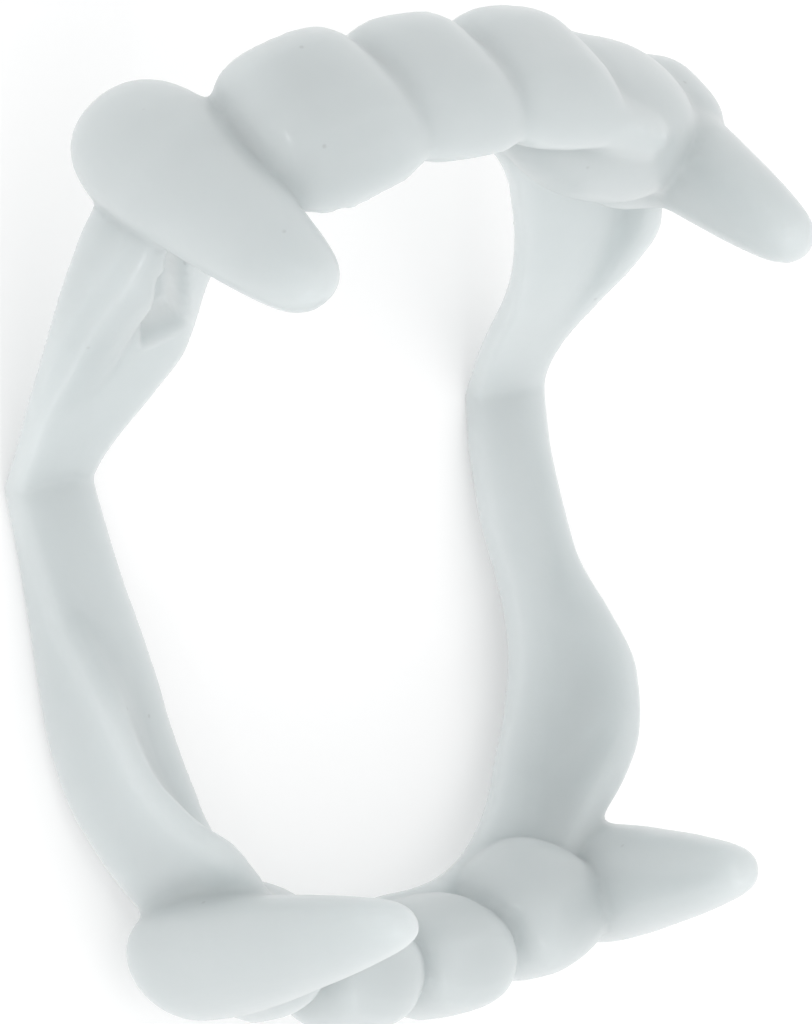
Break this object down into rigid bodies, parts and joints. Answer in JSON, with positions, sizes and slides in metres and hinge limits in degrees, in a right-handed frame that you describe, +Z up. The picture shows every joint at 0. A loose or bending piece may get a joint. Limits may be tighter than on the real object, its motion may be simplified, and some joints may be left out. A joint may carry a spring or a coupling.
{
  "type": "vampire fang denture",
  "caption": "Milky plastic toy teeth: an upper and a lower horseshoe band with rounded front teeth and long tapered fangs, folding on thin hinge creases at the back.",
  "frame": {"origin": "middle of the bounding box, on the floor that the piece lies on", "axes": "+X across the mouth, +Y from the hinge creases towards the lower front teeth, +Z up as the opened piece lies on the lower half's legs"},
  "size_m": [0.048, 0.0666, 0.0318],
  "materials": {
    "milky_plastic": "satin, milky and slightly see-through"
  },
  "bodies": {
    "lower": {"lower_jaw": "milky_plastic"},
    "upper": {"upper_jaw": "milky_plastic"}
  },
  "joints": [
    {"name": "crease_fold", "type": "hinge", "parent": "lower", "child": "upper", "pos_m": [0, -0.00598, 0.00155], "axis": [1, 0, 0], "range_deg": [-82, 54], "stiffness_Nm_per_rad": 0.03}
  ]
}
